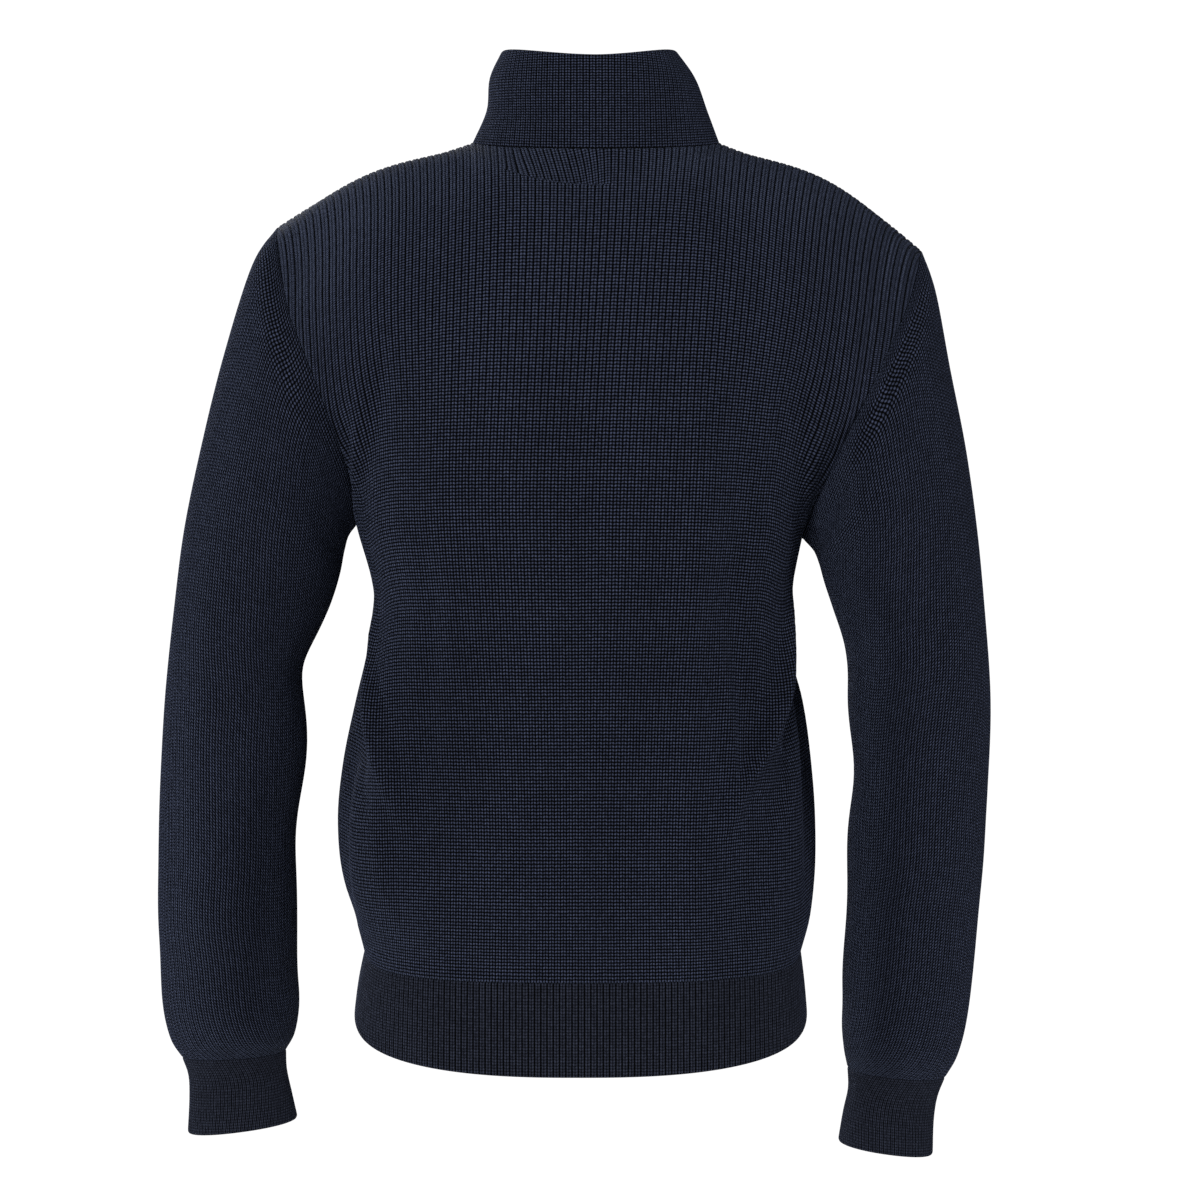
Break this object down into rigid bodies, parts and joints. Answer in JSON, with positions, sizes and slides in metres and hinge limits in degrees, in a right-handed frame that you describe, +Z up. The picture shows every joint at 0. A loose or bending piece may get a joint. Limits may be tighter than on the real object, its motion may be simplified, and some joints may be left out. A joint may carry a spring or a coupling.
{
  "type": "half-zip sweater",
  "caption": "Ribbed knit sweater with a stand collar and a short front zip, filled out in its worn shape with nobody in it, open at neck, hem and cuffs.",
  "frame": {"origin": "centre of the neck seam at the back, on the line between the two sides of the neck, where the wearer's neck holds the sweater", "axes": "+Z up, -Y the way the wearer faces, +X the wearer's left"},
  "size_m": [0.6009, 0.2636, 0.8024],
  "materials": {
    "knit": "matt navy rib knit with a soft nap",
    "trim_knit": "matt navy knit, finer and firmer than the panels",
    "zip_tape": "dark navy woven tape with dark moulded teeth",
    "zip_metal": "dark satin metal"
  },
  "bodies": {
    "sweater": {"back_panel": "knit", "front_panel": "knit", "hem_back": "trim_knit", "hem_front": "trim_knit", "upper_sleeve_left": "knit", "lower_sleeve_left": "knit", "upper_sleeve_right": "knit", "lower_sleeve_right": "knit", "cuff_left": "trim_knit", "cuff_right": "trim_knit", "collar": "trim_knit", "zip_tape_left": "zip_tape", "zip_tape_right": "zip_tape", "zip_chain": "zip_tape", "zip_bottom_stop": "zip_metal", "zip_slider": "zip_metal"},
    "zip_pull": {"zip_pull_tab": "zip_metal"}
  },
  "joints": [
    {"name": "pull_tab_swing", "type": "hinge", "parent": "sweater", "child": "zip_pull", "pos_m": [0.00047, -0.06334, 0.01178], "axis": [-1, 0, 0], "range_deg": [0, 150]}
  ]
}
